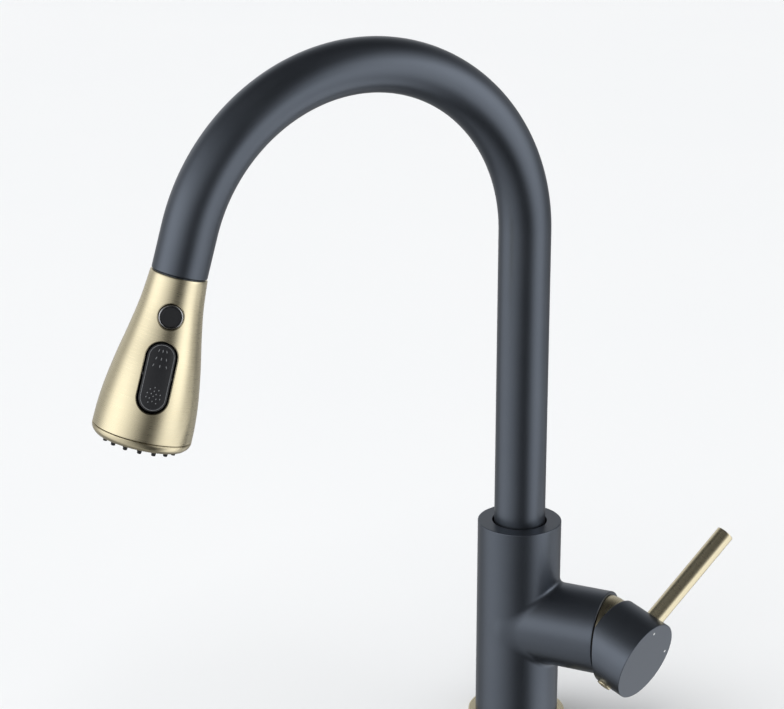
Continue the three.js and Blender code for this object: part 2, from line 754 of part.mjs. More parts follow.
// Spray selector rocker on its pin, and the diverter valve that it moves.
function rockerParts(head) {
  const face = oblong(16.6, 6.9, 15, 40).rotateY(PI / 2);
  const reach = 20;
  const raised = headOutline(6, -ROCKER_CROWN, ROCKER_POSITION - reach, ROCKER_POSITION + reach);
  const crownProfile = raised.map(([radius, height]) => [radius, height - ROCKER_POSITION]);
  const crown = turned([[0, -reach], ...crownProfile, [0, reach]], MEDIUM);
  const foot = join(block(4.6, 3.6, 6, 13.4, 0, 0), block(2.6, 9, 3.4, 15.6, 0, 0));
  const axleHole = rod(1.3, -9, 9, 12).rotateX(PI / 2).translate(ROCKER_AXLE, 0, 0);
  const rocker = cut(join(intersect(face, crown), foot), axleHole);
  rocker.translate(-ROCKER_AXLE, 0, 0).rotateY(ROCKER_TILT).translate(ROCKER_AXLE, 0, ROCKER_POSITION);
  add(head, "rocker", rocker, "blackPlastic");
  const axle = rod(1, -8.4, 8.4, 12).rotateX(PI / 2).translate(ROCKER_AXLE, 0, ROCKER_POSITION);
  add(head, "rocker_pin", axle, "steel");
  const valve = join(rod(2.9, 66.5, 73, COARSE), rod(1.5, 52.6, 67, 12)).translate(11, 0, 0);
  add(head, "diverter", valve, "greyPlastic");
}

// Ring, plate, rubber mat with its nubs, and aerator at the foot of the head.
function nozzleParts(head) {
  const trim = turned([
    [22.9, HEAD_LENGTH + GAP],
    [25.05, HEAD_LENGTH + GAP],
    [25.05, 81.4],
    [24.75, 82.5],
    [24.1, 83.8],
    [23.3, 84.8],
    [22.4, NOZZLE_RING_END],
    [20.4, NOZZLE_RING_END],
    [20.4, 82.5],
    [22.9, 81.6],
    [22.9, HEAD_LENGTH + GAP],
  ], FINE);
  add(head, "nozzle_ring", trim, "gold");
  const flange = rod(22.4, SPRAY_PLATE_BACK, 81.2, MEDIUM);
  const plate = join(flange, rod(20.1, 81, SPRAY_PLATE_FRONT, MEDIUM));
  add(head, "spray_face", cut(plate, rod(6.6, 79, 90, COARSE)), "blackPlastic");
  const nubs = [];
  for (const [radius, count] of NUB_ROWS) {
    for (let i = 0; i < count; i += 1) {
      const angle = (2 * PI * i) / count;
      nubs.push(nub().translate(radius * cos(angle), radius * sin(angle), 0));
    }
  }
  const mat = ring(20.1, MAT_BORE, SPRAY_PLATE_FRONT + GAP, MAT_FACE);
  add(head, "nozzle_mat", join(mat, ...nubs), "rubber");
  const aerator = cut(rod(6.3, SPRAY_PLATE_BACK, 85, COARSE), rod(5, 82.6, 86, COARSE));
  add(head, "aerator", aerator, "blackPlastic");
}

// One soft nozzle.
function nub() {
  const root = MAT_FACE - 0.8;
  return turned([[0, root], [1.35, root], [1.05, NUB_TIP], [0, NUB_TIP]], 5);
}

// Nut and crimped ferrule at the head's end of the hose.
function hoseEnd(dock) {
  const nut = chamferedRing(9.3, HOSE_RADIUS + 0.6, -24, -13 - GAP, 0.8);
  add(dock, "hose_nut", nut, "brass");
  const ferrule = chamferedRing(7, HOSE_RADIUS + 0.8, -32, -24 - GAP, 0.5);
  add(dock, "hose_ferrule", ferrule, "steel");
}

function headParts(dock) {
  hoseEnd(dock);
  headCore(dock);
  add(dock, "strike_ring", ring(13.2, NECK_RADIUS + 0.5, -0.35, -0.05), "black");
  headShell(dock);
  buttonParts(dock);
  rockerParts(dock);
  nozzleParts(dock);
}

// ---------------------------------------------------------------- assembly

function faucet() {
  const root = named("pull_down_faucet");
  baseParts(root);
  bodyCasting(root);
  spoutSeat(root);
  shankParts(root);
  pipes(root);
  cartridge(root);
  domeRing(root);
  const handle = handleFrame();
  handleParts(handle);
  stemParts(root, handle);
  root.add(handle);
  spoutParts(root);
  return root;
}

export default faucet();
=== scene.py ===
import json
import math

import bmesh
import bpy
import numpy as np
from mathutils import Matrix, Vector


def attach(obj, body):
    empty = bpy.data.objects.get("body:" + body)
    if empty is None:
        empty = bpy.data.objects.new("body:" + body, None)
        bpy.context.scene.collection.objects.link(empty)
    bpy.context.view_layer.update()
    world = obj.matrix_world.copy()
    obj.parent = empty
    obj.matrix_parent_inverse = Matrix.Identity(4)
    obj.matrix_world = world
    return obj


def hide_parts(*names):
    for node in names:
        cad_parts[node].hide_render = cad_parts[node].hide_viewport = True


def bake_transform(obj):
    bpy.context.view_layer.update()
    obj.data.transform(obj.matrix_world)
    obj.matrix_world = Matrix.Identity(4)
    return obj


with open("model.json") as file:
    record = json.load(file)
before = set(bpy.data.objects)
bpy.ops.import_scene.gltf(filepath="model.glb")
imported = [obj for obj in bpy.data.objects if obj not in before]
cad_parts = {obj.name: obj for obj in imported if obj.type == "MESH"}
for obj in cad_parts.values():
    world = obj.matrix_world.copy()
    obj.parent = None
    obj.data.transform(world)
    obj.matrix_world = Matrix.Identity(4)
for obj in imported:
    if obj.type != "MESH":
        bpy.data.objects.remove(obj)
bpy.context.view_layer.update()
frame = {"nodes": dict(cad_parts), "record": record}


# ---------------------------------------------------------------- viewing point
# The camera stands in front of the sink side and a little to the right, at about head height,
# and looks down on the faucet through a long lens.

camera_data = bpy.data.cameras.new("viewpoint")
camera_data.sensor_width = 36
camera_data.lens = 109.19
camera_data.clip_end = 50
camera = bpy.data.objects.new("viewpoint", camera_data)
camera.location = (0.4561, -1.1250, 0.6238)
camera.rotation_mode = "QUATERNION"
camera.rotation_quaternion = Vector((-0.4063, 0.8562, -0.3191)).to_track_quat("-Z", "Y")
bpy.context.scene.collection.objects.link(camera)
bpy.context.scene.camera = camera


# ---------------------------------------------------------------- studio
# Plain pale floor at counter height. Two tall soft boxes stand left and right, the near side is dim,
# a low card lights faces that look down to the right, and a wide soft light above lights the floor.


class Shade:
    """One output socket. Arithmetic on it adds one Math node for each operation."""

    def __init__(self, tree, socket):
        self.tree = tree
        self.socket = socket

    def math(self, operation, *others, swapped=False):
        made = self.tree.nodes.new("ShaderNodeMath")
        made.operation = operation
        parts = [self, *others]
        if swapped:
            parts.reverse()
        for place, part in zip(made.inputs, parts):
            feed(self.tree, place, part)
        return Shade(self.tree, made.outputs[0])

    def __add__(self, other):
        return self.math("ADD", other)

    def __sub__(self, other):
        return self.math("SUBTRACT", other)

    def __rsub__(self, other):
        return self.math("SUBTRACT", other, swapped=True)

    def __mul__(self, other):
        return self.math("MULTIPLY", other)

    def __truediv__(self, other):
        return self.math("DIVIDE", other)

    def __rtruediv__(self, other):
        return self.math("DIVIDE", other, swapped=True)

    def __pow__(self, other):
        return self.math("POWER", other)

    __radd__ = __add__
    __rmul__ = __mul__


def feed(tree, place, value):
    """Links a Shade to a socket, or writes a plain value on it."""
    if isinstance(value, Shade):
        tree.links.new(value.socket, place)
    else:
        place.default_value = value


class Nodes:
    """A node tree, emptied, and filled through the one method node()."""

    def __init__(self, tree):
        self.tree = tree
        tree.nodes.clear()

    def node(self, kind, settings=None, values=None, output=0):
        """Adds a node of that kind: its settings first, then the values or links of its sockets."""
        made = self.tree.nodes.new("ShaderNode" + kind)
        for name, value in (settings or {}).items():
            if name == "stops":
                ramp = made.color_ramp
                while len(ramp.elements) < len(value):
                    ramp.elements.new(0.5)
                for element, (position, grey) in zip(ramp.elements, value):
                    element.position = position
                    element.color = (grey, grey, grey, 1)
            elif name == "interpolation":
                made.color_ramp.interpolation = value
            else:
                setattr(made, name, value)
        for name, value in (values or {}).items():
            feed(self.tree, made.inputs[name], value)
        return Shade(self.tree, made.outputs[output]) if len(made.outputs) else None


TOWARD_VIEWER = (0.4286, -0.9035, 0)
TO_THE_RIGHT = (0.9035, 0.4286, 0)
# (degrees round the vertical from the near side, brightness), then (height of the direction, brightness)
BOX_BRIGHTNESS = [
    (-180, 0.62), (-156, 0.56), (-136, 0.34), (-122, 0.55), (-108, 1.15), (-84, 1.28), (-62, 1.02),
    (-42, 0.68), (-24, 0.34), (-8, 0.08), (10, 0.06), (23, 0.26), (36, 1.0), (54, 1.50), (74, 1.38),
    (90, 0.62), (104, 0.30), (132, 0.28), (156, 0.52), (180, 0.62),
]
HEIGHT_BRIGHTNESS = [(-1, 0.30), (-0.8, 0.42), (-0.32, 0.80), (0.05, 1.1), (0.3, 1.2), (0.55, 0.55),
                     (0.78, 0.1), (1, 0.05)]
BRIGHTEST = 1.5
CARD_DIRECTION = (0.46, 0.50, -0.735)
CARD_EDGE = 0.84
CARD_POWER = 0.72
CARD_FALLOFF = 0.6
# The boxes lean: their pattern turns by up to SHIFT degrees away from the level that upright walls mirror.
UPRIGHT_LEVEL = -0.32
SHIFT_RANGE = 0.4
SHIFT = 20

world = bpy.data.worlds.new("studio")
world.use_nodes = True
bpy.context.scene.world = world
studio = Nodes(world.node_tree)
direction = studio.node("TexCoord", output="Generated")
toward = studio.node("VectorMath", {"operation": "DOT_PRODUCT"}, {0: direction, 1: TOWARD_VIEWER}, "Value")
right = studio.node("VectorMath", {"operation": "DOT_PRODUCT"}, {0: direction, 1: TO_THE_RIGHT}, "Value")
up_down = studio.node("SeparateXYZ", values={"Vector": direction}, output="Z")
off_level = ((up_down - UPRIGHT_LEVEL).math("ABSOLUTE") * (1 / SHIFT_RANGE)).math("MINIMUM", 1.0)
turn = right.math("ARCTAN2", toward) * (0.5 / math.pi) + 0.5 - off_level * (SHIFT / 360)
box_stops = [(angle / 360 + 0.5, grey / BRIGHTEST) for angle, grey in BOX_BRIGHTNESS]
boxes = studio.node("ValToRGB", {"stops": box_stops, "interpolation": "LINEAR"}, {"Fac": turn})
height = up_down * 0.5 + 0.5
height_stops = [((z + 1) / 2, grey) for z, grey in HEIGHT_BRIGHTNESS]
heights = studio.node("ValToRGB", {"stops": height_stops, "interpolation": "EASE"}, {"Fac": height})
facing_card = studio.node("VectorMath", {"operation": "DOT_PRODUCT"},
                          {0: direction, 1: CARD_DIRECTION}, "Value")
card = ((facing_card - CARD_EDGE) * (1 / (1 - CARD_EDGE))).math("MAXIMUM", 0.0) ** CARD_FALLOFF
strength = boxes.math("MULTIPLY", heights) * BRIGHTEST + card * CARD_POWER
glow = studio.node("Background", values={"Color": (0.97, 0.985, 1, 1), "Strength": strength})
studio.node("OutputWorld", values={"Surface": glow})

overhead_data = bpy.data.lights.new("overhead", "SUN")
overhead_data.energy = 2.75
overhead_data.angle = math.radians(70)
overhead = bpy.data.objects.new("overhead", overhead_data)
overhead.rotation_euler = (math.radians(14), math.radians(-10), 0)
overhead.visible_glossy = False
bpy.context.scene.collection.objects.link(overhead)
bpy.context.scene.view_settings.view_transform = "Standard"

FLOOR_HALF = 9.0
floor_mesh = bpy.data.meshes.new("floor")
floor_corners = [(-1, -1), (1, -1), (1, 1), (-1, 1)]
floor_mesh.from_pydata([(x * FLOOR_HALF, y * FLOOR_HALF, 0) for x, y in floor_corners], [], [(0, 1, 2, 3)])
floor = bpy.data.objects.new("floor", floor_mesh)
bpy.context.scene.collection.objects.link(floor)
floor_paint = bpy.data.materials.new("pale_floor")
floor_paint.use_nodes = True
paint = Nodes(floor_paint.node_tree)
cloud = paint.node("TexNoise", values={"Vector": paint.node("TexCoord", output="Object"), "Scale": 3.0})
pale = paint.node("Mix", {"data_type": "RGBA"},
                  {0: cloud, 6: (0.86, 0.87, 0.88, 1), 7: (0.88, 0.885, 0.89, 1)}, 2)
matt = paint.node("BsdfPrincipled", values={"Base Color": pale, "Roughness": 0.6, "Specular IOR Level": 0.2})
paint.node("OutputMaterial", values={"Surface": matt})
floor_mesh.materials.append(floor_paint)
floor.visible_glossy = False


# ---------------------------------------------------------------- body casting
# One brass casting: an upright column and a side branch of the same diameter, ground smooth where
# they meet, bored for the spout, the shank and the cartridge, and coated satin black.

MM = 0.001
WORLD_AXES = (np.zeros(3), np.eye(3))


def placed(points, axes):
    """Local millimetre points in the part's frame: the origin plus each coordinate times its axis."""
    origin, directions = axes
    return origin + points @ directions


def rounded(corners, cut=0.4, steps=5, support=0.15):
    """Profile through corners. Each inner corner is cut back by the same length on both sides and
    bridged by a parabola (1-t)^2 A + 2t(1-t) P + t^2 B, with a support point just outside each end."""
    corners = np.array(corners, float)
    cuts = np.broadcast_to(cut, len(corners))
    rows = [corners[:1]]
    t = np.linspace(0, 1, steps)[:, None]
    for before, corner, after, length in zip(corners[:-2], corners[1:-1], corners[2:], cuts[1:-1]):
        back = (before - corner) / np.linalg.norm(before - corner)
        ahead = (after - corner) / np.linalg.norm(after - corner)
        a, b = corner + back * length, corner + ahead * length
        arc = (1 - t) ** 2 * a + 2 * t * (1 - t) * corner + t**2 * b
        rows += [(a + back * support)[None], arc, (b + ahead * support)[None]]
    rows.append(corners[-1:])
    return np.concatenate(rows)


def turned(profile, angles):
    """Surface of revolution: a profile point (r, z) at angle a stands at (r cos a, r sin a, z)."""
    profile = np.asarray(profile, float)
    radius, height = profile[:, :1], profile[:, 1:]
    cosine, sine = np.cos(angles)[None], np.sin(angles)[None]
    return np.stack([radius * cosine, radius * sine, height + 0 * cosine], -1)


def full_turn(steps):
    """Angles of one closed turn, with the first repeated at the end."""
    return np.linspace(0, 2 * np.pi, steps + 1)


def woven(name, sheets, axes=WORLD_AXES, grain=None, sharp=32):
    """Joins grids of local millimetre points (rows, columns, 3) into one mesh of quads in metres.
    The grain attribute holds the direction round the local axis and the height plus the radius,
    so that a pattern can follow the turning or brushing of the piece."""
    local = np.concatenate([sheet.reshape(-1, 3) for sheet in sheets])
    if grain is None:
        radius = np.hypot(local[:, 0], local[:, 1])
        away = np.maximum(radius, 1e-6)
        grain = np.stack([local[:, 0] / away, local[:, 1] / away, local[:, 2] + radius], -1)
    faces, start = [], 0
    for sheet in sheets:
        rows, columns = sheet.shape[:2]
        index = start + np.arange(rows * columns).reshape(rows, columns)
        corners = [index[:-1, :-1], index[:-1, 1:], index[1:, 1:], index[1:, :-1]]
        faces.append(np.stack(corners, -1).reshape(-1, 4))
        start += rows * columns
    mesh = bpy.data.meshes.new(name)
    mesh.from_pydata((placed(local, axes) * MM).tolist(), [], np.concatenate(faces).tolist())
    attribute = mesh.attributes.new("grain", "FLOAT_VECTOR", "POINT")
    attribute.data.foreach_set("vector", grain.astype(np.float32).ravel())
    merged = bmesh.new()
    merged.from_mesh(mesh)
    bmesh.ops.remove_doubles(merged, verts=merged.verts, dist=2e-6)
    bmesh.ops.recalc_face_normals(merged, faces=merged.faces)
    merged.to_mesh(mesh)
    merged.free()
    mesh.shade_smooth()
    mesh.set_sharp_from_angle(angle=math.radians(sharp))
    piece = bpy.data.objects.new(name, mesh)
    bpy.context.scene.collection.objects.link(piece)
    return piece


def finish_tree(name):
    """A new material and its emptied node tree."""
    material = bpy.data.materials.new(name)
    material.use_nodes = True
    return material, Nodes(material.node_tree)


def noise(tree, place, scale, detail=2.0):
    """Noise of that scale over the given coordinates, from 0 to 1."""
    return tree.node("TexNoise", values={"Vector": place, "Scale": scale, "Detail": detail})


def mixed(tree, factor, first, second):
    """One colour running into another by the factor."""
    return tree.node("Mix", {"data_type": "RGBA"}, {0: factor, 6: (*first, 1), 7: (*second, 1)}, 2)


def bumped(tree, height, strength, distance):
    """Normal of a surface raised by the height field; the distance is in metres."""
    return tree.node("Bump", values={"Height": height, "Strength": strength, "Distance": distance})


def closed(tree, values):
    """Ends a material with the main shader."""
    tree.node("OutputMaterial", values={"Surface": tree.node("BsdfPrincipled", values=values)})


def satin_black(name):
    """Black coat over brass: fine powder grain in the bump, slow drift in colour and roughness."""
    material, tree = finish_tree(name)
    place = tree.node("TexCoord", output="Object")
    grain = noise(tree, place, 2600, 2)
    drift = noise(tree, place, 45, 3)
    closed(tree, {
        "Base Color": mixed(tree, drift, (0.112, 0.127, 0.153), (0.134, 0.151, 0.178)),
        "Metallic": 0.92,
        "Roughness": drift * 0.07 + grain * 0.04 + 0.295,
        "Normal": bumped(tree, grain, 0.16, 0.00006),
    })
    return material


def wears(piece, material, body, slot_name, *nodes):
    """Gives a piece its material and its body, and hides the solids that it stands for. The slot name is not
    used.
    """
    piece.data.materials.append(material)
    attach(piece, body)
    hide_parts(*nodes)
    return piece


BODY_RADIUS = 23.0
BODY_FOOT = 5.3
BODY_TOP = 120.0
BRANCH_HEIGHT = 62.0
BRANCH_END = 52.2
CREASE_BLEND = 1.6
MIDDLE_BLEND = 1.5
FADE_OUT = 16.0
EDGE = 0.7


def ground_smooth(points):
    """Moves wall points out to the blended surface of the two equal cylinders. With d the distance
    outside each wall, the surface is min(d1, d2) = k h^2 / 4, where h = 1 - |d1 - d2| / k, and k is
    widest where the walls meet square. Behind the column's middle d2 grows, so the blend fades."""
    moved = points.copy()
    for _ in range(8):
        x, y, z = moved[..., 0], moved[..., 1], moved[..., 2] - BRANCH_HEIGHT
        r1, r2 = np.maximum(np.hypot(x, y), 1e-6), np.maximum(np.hypot(y, z), 1e-6)
        n1 = np.stack([x / r1, y / r1, 0 * x], -1)
        n2 = np.stack([0 * x, y / r2, z / r2], -1)
        d1, d2 = r1 - BODY_RADIUS, r2 - BODY_RADIUS + np.minimum(x, 0) ** 2 / FADE_OUT
        k = MIDDLE_BLEND + CREASE_BLEND * (1 - (n1 * n2).sum(-1))
        h = np.clip(1 - np.abs(d1 - d2) / k, 0, 1)
        outside = np.minimum(d1, d2) - k * h**2 / 4
        share = np.clip(0.5 + 0.5 * (d2 - d1) / k, 0, 1)[..., None]
        normal = share * n1 + (1 - share) * n2
        step = outside[..., None] * normal / np.maximum((normal**2).sum(-1), 0.2)[..., None]
        moved -= step
    return moved


def body_walls(angles):
    """Column wall below and above the branch, and the branch wall, each running from the crease.
    The crease of two equal cylinders stands at x = |z| about their common point."""
    near = np.linspace(0, 1, 44)[:, None] ** 2
    cosine, sine = np.cos(angles)[None], np.sin(angles)[None]
    reach = np.maximum(BODY_RADIUS * cosine, 0)
    low = BRANCH_HEIGHT - reach + (BODY_FOOT + EDGE - BRANCH_HEIGHT + reach) * near
    high = BRANCH_HEIGHT + reach + (BODY_TOP - EDGE - BRANCH_HEIGHT - reach) * near
    out = np.abs(BODY_RADIUS * cosine)
    along = out + (BRANCH_END - EDGE - out) * near
    wall_x, wall_y = BODY_RADIUS * cosine + 0 * near, BODY_RADIUS * sine + 0 * near
    column = [np.stack([wall_x, wall_y, z], -1) for z in (low, high)]
    branch = np.stack([along, wall_y, BRANCH_HEIGHT + wall_x], -1)
    return [ground_smooth(wall) for wall in (*column, branch)]


body_angles = full_turn(288)
column_inside = rounded([
    (23, BODY_TOP - EDGE - 0.2), (23, BODY_TOP), (15, BODY_TOP), (15, 79), (6.3, 79), (6.3, 18),
    (17, 18), (17, BODY_FOOT), (23, BODY_FOOT), (23, BODY_FOOT + EDGE + 0.2),
], [0, 0.5, 0.3, 0.3, 0.3, 0.3, 0.3, 0.3, 0.5, 0])
branch_inside = rounded([
    (23, BRANCH_END - EDGE - 0.2), (23, BRANCH_END), (20.6, BRANCH_END), (20.6, 45.7), (18.6, 45.7),
    (18.6, 24.5), (0, 24.5),
], [0, 0.5, 0.25, 0.2, 0.2, 0.3, 0])
column_inside[0], column_inside[-1] = (23, BODY_TOP - EDGE), (23, BODY_FOOT + EDGE)
branch_inside[0] = (23, BRANCH_END - EDGE)
branch_rim = turned(branch_inside, body_angles)
branch_rim = np.stack([branch_rim[..., 2], branch_rim[..., 1], BRANCH_HEIGHT + branch_rim[..., 0]], -1)
black_coat = satin_black("satin_black_coat")
body_coat = woven("body_coat", [*body_walls(body_angles), turned(column_inside, body_angles), branch_rim])
wears(body_coat, black_coat, "body", "black_coat", "body_casting")


# ---------------------------------------------------------------- base trim ring
# Flat ring under the body that covers the hole in the counter, turned from brass, brushed round
# and plated champagne gold.


def brushed_gold(name, lines=0.32, tone=1.0):
    """Champagne plating with brush lines that run round the piece: noise long round the axis and
    fine along it, in the roughness and the bump, with a slow drift of colour."""
    material, tree = finish_tree(name)
    grain = tree.node("Attribute", {"attribute_name": "grain"}, output="Vector")

    def streaks(around, along, detail=2.0):
        stretched = tree.node("VectorMath", {"operation": "MULTIPLY"}, {0: grain, 1: (around, around, along)})
        return noise(tree, stretched, 1.0, detail)

    fine = streaks(2.5, 4.2, 3)
    broad = streaks(1.2, 0.9)
    drift = streaks(0.7, 0.05)
    # A tone below 1 darkens the whole colour; the dome uses it as painted shade.
    light = tuple(c * tone for c in (0.89, 0.795, 0.57))
    deep = tuple(c * tone for c in (0.83, 0.73, 0.49))
    closed(tree, {
        "Base Color": mixed(tree, broad * 0.5 + drift * 0.5, deep, light),
        "Metallic": 1.0,
        "Roughness": fine * 0.12 + broad * 0.06 + 0.20,
        "Normal": bumped(tree, fine + broad * 0.35, lines, 0.00004),
    })
    return material


gold = brushed_gold("champagne_gold_brushed")
ring_profile = rounded([
    (16.9, 2.5), (16.9, 5), (27, 5), (27, 0), (24.6, 0), (24.6, 1.8), (20, 1.8), (20, 0), (16.9, 0),
    (16.9, 2.5),
], [0, 0.3, 0.7, 0.4, 0.2, 0.2, 0.2, 0.2, 0.2, 0])
base_trim = woven("base_trim", [turned(ring_profile, full_turn(192))])
wears(base_trim, gold, "body", "brushed_gold", "base_ring")


# ---------------------------------------------------------------- spout tube
# Brass tube bent into a gooseneck and coated satin black. Its foot stands in the body and turns
# there; its far end is dressed square and holds the spray head.

SPOUT_TURN = math.radians(235)
SPOUT_OUT = np.array([math.cos(SPOUT_TURN), math.sin(SPOUT_TURN), 0])
SPOUT_SIDE = np.array([-math.sin(SPOUT_TURN), math.cos(SPOUT_TURN), 0])
UP = np.array([0, 0, 1.0])
TUBE_FOOT = 91.0
RISE = 284.5 - TUBE_FOOT
BEND_RADIUS = 99.0
BEND_ANGLE = math.radians(163.8)
BEND = BEND_RADIUS * BEND_ANGLE
TIP = 21.7


def gooseneck(length):
    """Centre and outward direction at a length from the tube's foot: straight up, then a circle of
    the bend radius, then straight along its last direction. Outward is square to the path."""
    angle = np.clip((length - RISE) / BEND_RADIUS, 0, BEND_ANGLE)
    straight = np.minimum(length, RISE)
    beyond = np.maximum(length - RISE - BEND, 0)
    across = BEND_RADIUS * (1 - np.cos(angle)) + beyond * np.sin(angle)
    height = TUBE_FOOT + straight + BEND_RADIUS * np.sin(angle) + beyond * np.cos(angle)
    centre = across[:, None] * SPOUT_OUT + height[:, None] * UP
    outward = np.cos(angle)[:, None] * SPOUT_OUT - np.sin(angle)[:, None] * UP
    return centre, outward


def carried(profile, angles):
    """A profile of (radius, length) points carried round the gooseneck: centre plus the radius
    times (cos a times outward plus sin a times the sideways direction)."""
    centre, outward = gooseneck(profile[:, 1])
    radius = profile[:, 0][:, None, None]
    ways = np.cos(angles)[None, :, None] * outward[:, None] + np.sin(angles)[None, :, None] * SPOUT_SIDE
    return centre[:, None] + radius * ways


def run(radius, start, end, steps):
    """A straight stretch of a profile at one radius."""
    return np.stack([np.full(steps, radius, float), np.linspace(start, end, steps)], -1)


TUBE_END = RISE + BEND + TIP
tube_lip = rounded([(14, TUBE_END - 1.2), (14, TUBE_END), (12.8, TUBE_END), (12.8, TUBE_END - 1.2)], 0.35)
tube_profile = np.concatenate([
    run(14, 0, RISE, 24), run(14, RISE, RISE + BEND, 150)[1:], tube_lip,
    run(12.8, RISE + BEND, RISE, 60), run(12.8, RISE, 0, 8)[1:], run(14, 0, 0, 1),
])
spout_coat = woven("spout_coat", [carried(tube_profile, full_turn(112))])
wears(spout_coat, black_coat, "spout", "black_coat", "spout_tube")


# ---------------------------------------------------------------- pull-out hose
# Rubber hose in a tight black nylon braid. It runs from under the counter up through the body and
# the gooseneck; when the head is pulled, the stretch behind the ferrule comes out with it.


BRAID_STRANDS = 12
BRAID_PITCH = 2.2


def braid(name):
    """Woven nylon: two sets of helical strands, sin(turns a + p s) and sin(turns a - p s), cross and
    the higher one shows in the bump; the colour paints shade in the gaps between strands and sheen on their
    tops."""
    material, tree = finish_tree(name)
    grain = tree.node("Attribute", {"attribute_name": "grain"}, output="Vector")
    x = tree.node("SeparateXYZ", values={"Vector": grain}, output="X")
    y = tree.node("SeparateXYZ", values={"Vector": grain}, output="Y")
    along = tree.node("SeparateXYZ", values={"Vector": grain}, output="Z")
    angle = y.math("ARCTAN2", x) * BRAID_STRANDS
    rising = (angle + along * BRAID_PITCH).math("SINE")
    falling = (angle - along * BRAID_PITCH).math("SINE")
    weave = rising.math("MAXIMUM", falling) * 0.5 + 0.5
    fuzz = noise(tree, grain, 6, 3)
    closed(tree, {
        # Darkest in the gaps between strands, lighter on their tops: painted shade and painted sheen over one
        # black yarn.
        "Base Color": mixed(tree, weave, (0.012, 0.012, 0.014), (0.075, 0.078, 0.088)),
        "Roughness": fuzz * 0.2 + 0.55,
        "Normal": bumped(tree, weave + fuzz * 0.2, 0.7, 0.0004),
    })
    return material


HOSE_RADIUS = 5.2
HOSE_FOOT = -107.0 - TUBE_FOOT
HOSE_HEAD = TUBE_END - 13.5
hose_angles = full_turn(28)
hose_profile = np.concatenate([
    run(0, HOSE_FOOT, HOSE_FOOT, 1), run(HOSE_RADIUS, HOSE_FOOT, RISE, 60),
    run(HOSE_RADIUS, RISE, RISE + BEND, 90)[1:], run(HOSE_RADIUS, HOSE_HEAD, HOSE_HEAD, 1),
    run(0, HOSE_HEAD, HOSE_HEAD, 1),
])
hose_grain = np.stack(np.broadcast_arrays(
    np.cos(hose_angles)[None], np.sin(hose_angles)[None], hose_profile[:, 1:]), -1).reshape(-1, 3)
nylon_braid = braid("black_nylon_braid")
hose_cover = woven("hose_braid_cover", [carried(hose_profile, hose_angles)], grain=hose_grain)
wears(hose_cover, nylon_braid, "spout", "hose_braid", "pull_hose")


# ---------------------------------------------------------------- spray head shell
# Zinc shell of the pull-down head: a flaring cone, brushed round and plated champagne gold, with a
# round hole for the pause button and a long slot for the spray selector, both with broken edges.

HEAD_TURN = math.radians(65.5)
DOCK_GAP = 0.8
HEAD_DOWN = SPOUT_OUT * math.sin(BEND_ANGLE) + UP * math.cos(BEND_ANGLE)
HEAD_OUTWARD = -SPOUT_OUT * math.cos(BEND_ANGLE) + UP * math.sin(BEND_ANGLE)
HEAD_SIDE = np.cross(HEAD_DOWN, HEAD_OUTWARD)
HEAD_FRONT = HEAD_OUTWARD * math.cos(HEAD_TURN) - HEAD_SIDE * math.sin(HEAD_TURN)
tube_end_centre = gooseneck(np.array([TUBE_END]))[0][0]
HEAD_AXES = (tube_end_centre + HEAD_DOWN * DOCK_GAP,
             np.stack([HEAD_FRONT, np.cross(HEAD_DOWN, HEAD_FRONT), HEAD_DOWN]))
HEAD_LENGTH = 80.5
HEAD_STATIONS = np.array([
    (14.3, 0), (15.75, 15), (18.3, 30), (21.3, 45), (23.7, 60), (24.75, 71), (25.05, HEAD_LENGTH),
])


def head_outline():
    """Radius and height samples on the Catmull-Rom curve through the stations of the cone."""
    t = np.linspace(0, len(HEAD_STATIONS) - 1, 241)
    i = np.minimum(t.astype(int), len(HEAD_STATIONS) - 2)
    f = (t - i)[:, None]
    p = [HEAD_STATIONS[np.clip(i + k, 0, len(HEAD_STATIONS) - 1)] for k in (-1, 0, 1, 2)]
    ahead, behind = (p[2] - p[0]) / 2, (p[3] - p[1]) / 2
    return ((2 * f**3 - 3 * f**2 + 1) * p[1] + (f**3 - 2 * f**2 + f) * ahead
            + (3 * f**2 - 2 * f**3) * p[2] + (f**3 - f**2) * behind)


OUTLINE = head_outline()


def cone_radius(height):
    """Radius of the shell at a height down the head's axis."""
    return np.interp(height, OUTLINE[:, 1], OUTLINE[:, 0])


def on_cone(sideways, height, inset=0.0):
    """The point of the shell's front at (y, z): x is the square root of radius^2 - y^2."""
    radius = cone_radius(height) - inset
    return np.stack([np.sqrt(np.maximum(radius**2 - sideways**2, 0)), sideways, height], -1)


def cone_grid(heights, angles, inset=0.0):
    """A patch of the cone over given heights and angles."""
    radius = (cone_radius(heights) - inset)[:, None]
    tall = heights[:, None] + 0 * angles[None]
    return np.stack([radius * np.cos(angles), radius * np.sin(angles), tall], -1)


SHELL_WALL = 1.8
FRONT_HALF = math.radians(42)
BROKEN_EDGE = 0.6
front_angles = np.linspace(-FRONT_HALF, FRONT_HALF, 37)
rear_angles = np.linspace(FRONT_HALF, 2 * np.pi - FRONT_HALF, 97)
all_angles = np.concatenate([front_angles, rear_angles[1:]])


